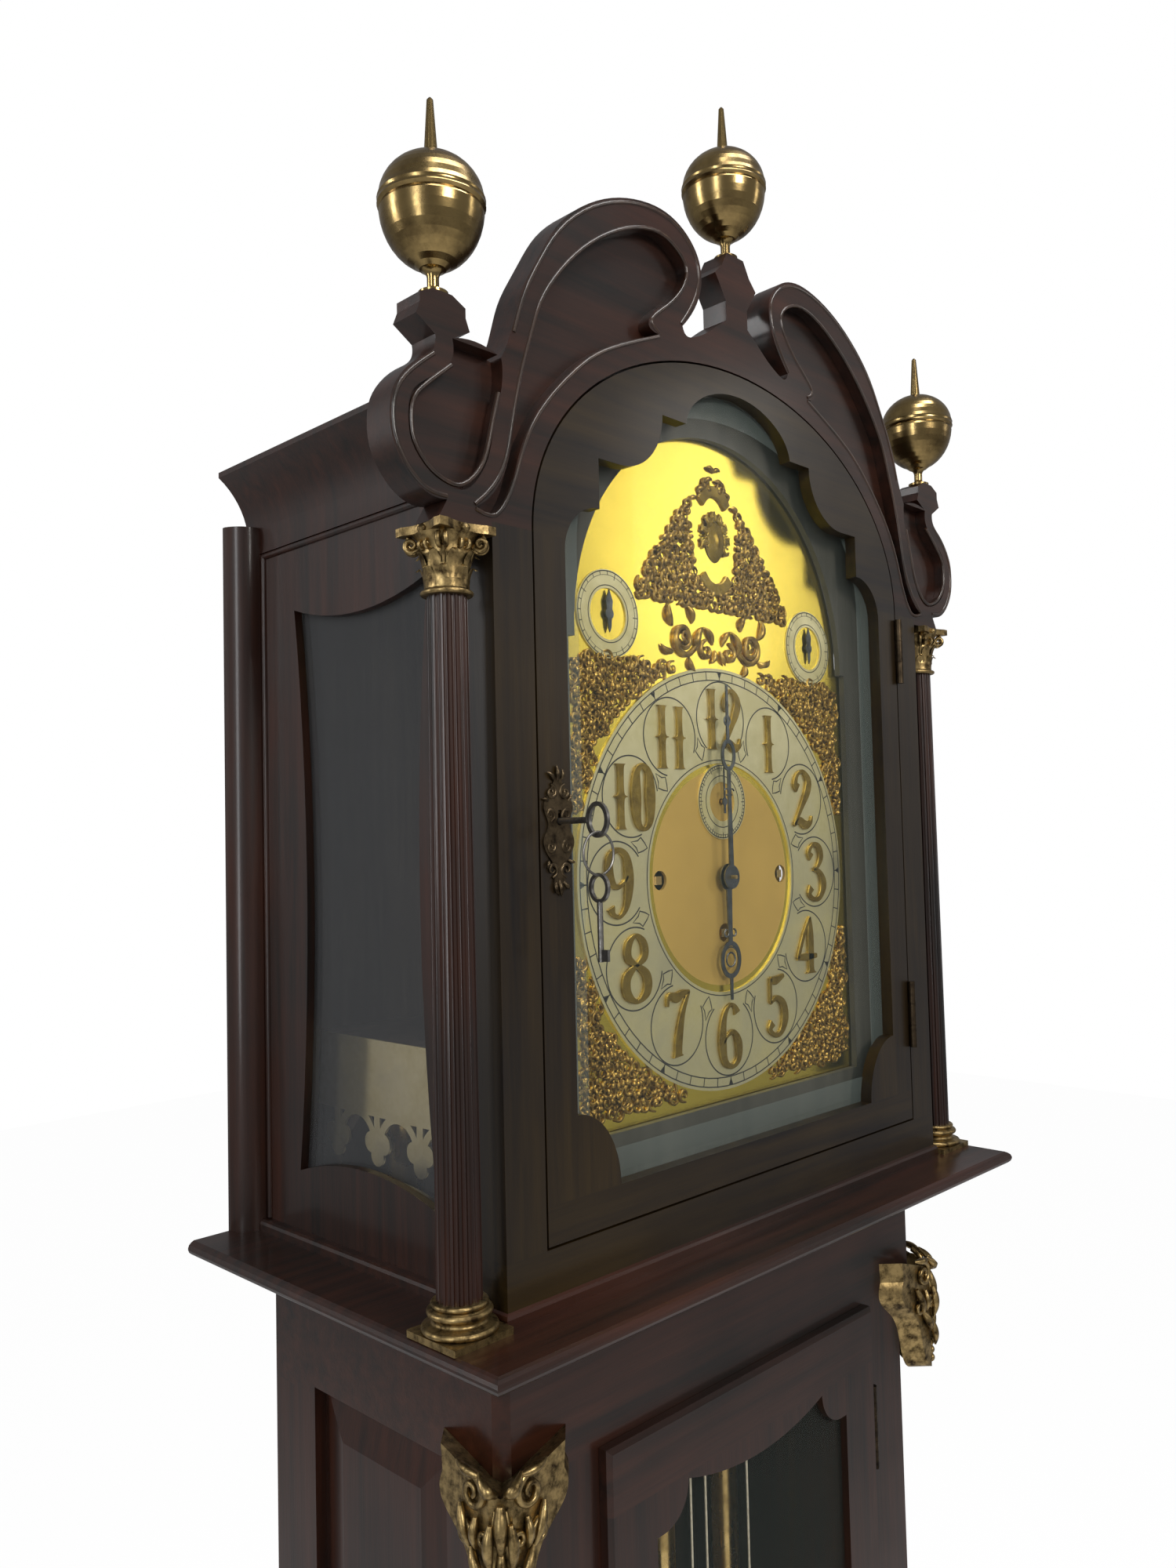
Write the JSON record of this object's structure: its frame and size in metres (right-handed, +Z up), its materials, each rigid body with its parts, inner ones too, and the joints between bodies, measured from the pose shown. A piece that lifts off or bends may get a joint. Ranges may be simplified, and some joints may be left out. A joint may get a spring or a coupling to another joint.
{
  "type": "longcase clock",
  "caption": "Mahogany longcase clock with swan-neck pediment, fluted columns, brass arched dial, three weights, tubular bells and pendulum.",
  "frame": {"origin": "on the floor, under the middle of the clock's outer box", "axes": "+Z up; -Y out of the dial, towards the person who reads it; +X to that person's right"},
  "size_m": [0.648, 0.338, 2.4213],
  "materials": {
    "mahogany": "polished",
    "inner_wood": "matt",
    "glass": "clear",
    "brass": "polished",
    "gilt": "antique gilt",
    "silvered": "silvered",
    "blued_steel": "blued",
    "steel": "bright",
    "gut_line": "satin"
  },
  "bodies": {
    "case": {"plinth_skirting": "mahogany", "base_carcass": "mahogany", "trunk_carcass": "mahogany", "fielded_panels": "mahogany", "case_mouldings": "mahogany", "backboard": "inner_wood", "corner_mounts": "gilt", "seatboard": "inner_wood", "movement_brackets": "inner_wood", "seatboard_arcades": "gilt", "movement_plates": "brass", "plate_pillars": "brass", "dial_plate": "brass", "chapter_rings": "silvered", "dial_mounts": "gilt", "tubular_bells": "brass", "trunk_hinge_posts": "brass", "going_line": "gut_line", "strike_line": "gut_line", "chime_line": "gut_line"},
    "hood": {"hood_ledge": "mahogany", "hood_front_frame": "mahogany", "pediment_board": "mahogany", "pediment_scrollwork": "mahogany", "hood_sides": "mahogany", "hood_roof": "mahogany", "hood_side_glasses": "glass", "hood_columns": "mahogany", "column_mounts": "gilt", "finials": "brass", "dial_mask": "inner_wood", "hood_hinge_posts": "brass"},
    "hood_door": {"hood_door_frame": "mahogany", "hood_door_glass": "glass", "hood_hinge_leaves": "brass", "hood_door_escutcheon": "gilt", "hood_door_lock": "steel"},
    "lock_bolt": {"hood_door_bolt": "steel"},
    "door_key": {"hood_door_key": "steel"},
    "hanging_key": {"spare_key": "steel"},
    "trunk_door": {"trunk_door_frame": "mahogany", "trunk_door_glass": "glass", "trunk_door_fittings": "brass"},
    "minute": {"minute_hand": "blued_steel"},
    "hour": {"hour_hand": "blued_steel"},
    "centre": {"centre_wheel": "brass"},
    "third": {"third_wheel": "brass"},
    "escapement": {"escape_wheel": "brass", "seconds_hand": "blued_steel"},
    "pallets": {"anchor": "steel"},
    "pendulum": {"pendulum_rod": "steel", "pendulum_bob": "brass"},
    "strike_silent": {"strike_pointer": "blued_steel"},
    "chime_silent": {"chime_pointer": "blued_steel"},
    "going_drum": {"going_barrel": "brass"},
    "strike_drum": {"strike_barrel": "brass"},
    "chime_drum": {"chime_barrel": "brass"},
    "going_mass": {"going_weight": "brass"},
    "strike_mass": {"strike_weight": "brass"},
    "chime_mass": {"chime_weight": "brass"}
  },
  "joints": [
    {"name": "hood_slide", "type": "slide", "parent": "case", "child": "hood", "axis": [0, -1, 0], "range_m": [0, 0.3]},
    {"name": "hood_door_swing", "type": "hinge", "parent": "hood", "child": "hood_door", "pos_m": [0.21675, -0.1242, 1.8303], "axis": [0, 0, 1], "range_deg": [0, 100]},
    {"name": "key_turn", "type": "hinge", "parent": "hood_door", "child": "door_key", "pos_m": [-0.2, -0.121, 1.8723], "axis": [0, -1, 0], "range_deg": [0, 180]},
    {"name": "bolt_throw", "type": "slide", "parent": "hood_door", "child": "lock_bolt", "axis": [-1, 0, 0], "range_m": [0, 0.008]},
    {"name": "hanging_key_swing", "type": "hinge", "parent": "door_key", "child": "hanging_key", "pos_m": [-0.2, -0.155, 1.85185], "axis": [0, 1, 0], "range_deg": [-50, 50]},
    {"name": "trunk_door_swing", "type": "hinge", "parent": "case", "child": "trunk_door", "pos_m": [0.1616, -0.1065, 1.0463], "axis": [0, 0, 1], "range_deg": [0, 100]},
    {"name": "minute_spin", "type": "hinge", "parent": "case", "child": "minute", "pos_m": [0, -0.101, 1.8303], "axis": [0, 1, 0], "continuous": true},
    {"name": "hour_spin", "type": "hinge", "parent": "case", "child": "hour", "pos_m": [0, -0.098, 1.8303], "axis": [0, 1, 0], "continuous": true},
    {"name": "centre_spin", "type": "hinge", "parent": "case", "child": "centre", "pos_m": [0, -0.02, 1.8303], "axis": [0, 1, 0], "continuous": true},
    {"name": "third_spin", "type": "hinge", "parent": "case", "child": "third", "pos_m": [0.014, -0.02, 1.8583], "axis": [0, 1, 0], "continuous": true},
    {"name": "seconds_spin", "type": "hinge", "parent": "case", "child": "escapement", "pos_m": [0, -0.028, 1.8873], "axis": [0, 1, 0], "continuous": true},
    {"name": "pendulum_swing", "type": "hinge", "parent": "case", "child": "pendulum", "pos_m": [0, 0.031, 1.9153], "axis": [0, 1, 0], "range_deg": [-3, 3]},
    {"name": "pallet_swing", "type": "hinge", "parent": "case", "child": "pallets", "pos_m": [0, -0.02, 1.9153], "axis": [0, 1, 0], "range_deg": [-3, 3]},
    {"name": "strike_silent_turn", "type": "hinge", "parent": "case", "child": "strike_silent", "pos_m": [-0.121, -0.094, 2.0163], "axis": [0, 1, 0], "range_deg": [-90, 90]},
    {"name": "chime_silent_turn", "type": "hinge", "parent": "case", "child": "chime_silent", "pos_m": [0.121, -0.094, 2.0163], "axis": [0, 1, 0], "range_deg": [-90, 90]},
    {"name": "going_weight_fall", "type": "slide", "parent": "case", "child": "going_mass", "axis": [0, 0, 1], "range_m": [-0.62, 0.5], "deforming": ["going_line"]},
    {"name": "going_winding", "type": "hinge", "parent": "case", "child": "going_drum", "pos_m": [0, -0.02, 1.7883], "axis": [0, 1, 0], "range_deg": [-2700, 2700]},
    {"name": "strike_weight_fall", "type": "slide", "parent": "case", "child": "strike_mass", "axis": [0, 0, 1], "range_m": [-0.62, 0.5], "deforming": ["strike_line"]},
    {"name": "strike_winding", "type": "hinge", "parent": "case", "child": "strike_drum", "pos_m": [-0.073, -0.02, 1.8303], "axis": [0, 1, 0], "range_deg": [-2700, 2700]},
    {"name": "chime_weight_fall", "type": "slide", "parent": "case", "child": "chime_mass", "axis": [0, 0, 1], "range_m": [-0.62, 0.5], "deforming": ["chime_line"]},
    {"name": "chime_winding", "type": "hinge", "parent": "case", "child": "chime_drum", "pos_m": [0.073, -0.02, 1.8303], "axis": [0, 1, 0], "range_deg": [-2700, 2700]}
  ],
  "couplings": [
    {"joint": "bolt_throw", "follows": "key_turn", "m_per_rad": 0.002546},
    {"joint": "hour_spin", "follows": "minute_spin", "ratio": 0.083333},
    {"joint": "centre_spin", "follows": "minute_spin", "ratio": 1},
    {"joint": "third_spin", "follows": "minute_spin", "ratio": -7.5},
    {"joint": "seconds_spin", "follows": "minute_spin", "ratio": 60},
    {"joint": "pallet_swing", "follows": "pendulum_swing", "ratio": 1},
    {"joint": "going_winding", "follows": "going_weight_fall", "rad_per_m": -73.26},
    {"joint": "strike_winding", "follows": "strike_weight_fall", "rad_per_m": -73.26},
    {"joint": "chime_winding", "follows": "chime_weight_fall", "rad_per_m": -73.26}
  ]
}
